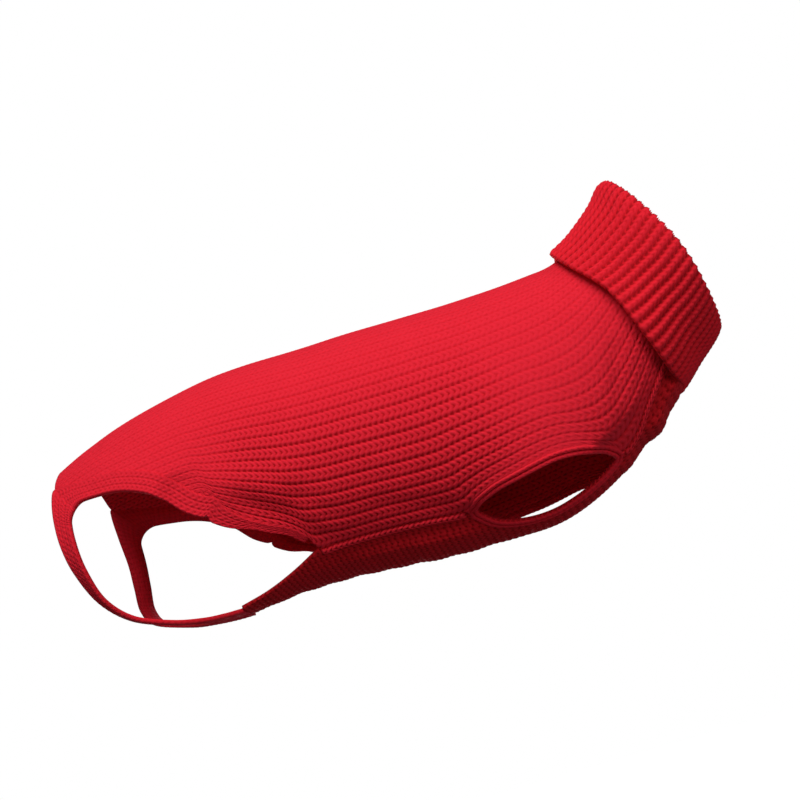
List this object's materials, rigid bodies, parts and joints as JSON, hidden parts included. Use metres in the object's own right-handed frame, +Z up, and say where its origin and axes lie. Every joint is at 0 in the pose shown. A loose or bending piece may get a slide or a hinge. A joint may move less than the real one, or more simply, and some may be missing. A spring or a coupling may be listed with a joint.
{
  "type": "dog sweater",
  "caption": "Ribbed knit pullover for a dog, worn form: full back, belly panel, roll collar, leg openings edged with bands.",
  "frame": {"origin": "inside of the back panel, on its centre line over the middle of the back, where the garment lies on the wearer's back", "axes": "+X towards the head and the collar, +Y towards the wearer's left, +Z up; the back is level"},
  "size_m": [0.4154, 0.1292, 0.1895],
  "materials": {
    "back_knit": "chunky ribbed wool-blend knit, matt, slightly fuzzy",
    "belly_knit": "finer ribbed knit, matt",
    "collar_knit": "deep ribbed knit, matt, slightly fuzzy",
    "armhole_edging": "plain turned knit edging, matt",
    "leg_edging": "ribbed knit band, matt"
  },
  "bodies": {
    "root": {"back_panel": "back_knit", "belly_panel": "belly_knit", "collar": "collar_knit", "armhole_band_right": "armhole_edging", "armhole_band_left": "armhole_edging", "leg_band_right": "leg_edging", "leg_band_left": "leg_edging"}
  },
  "joints": []
}
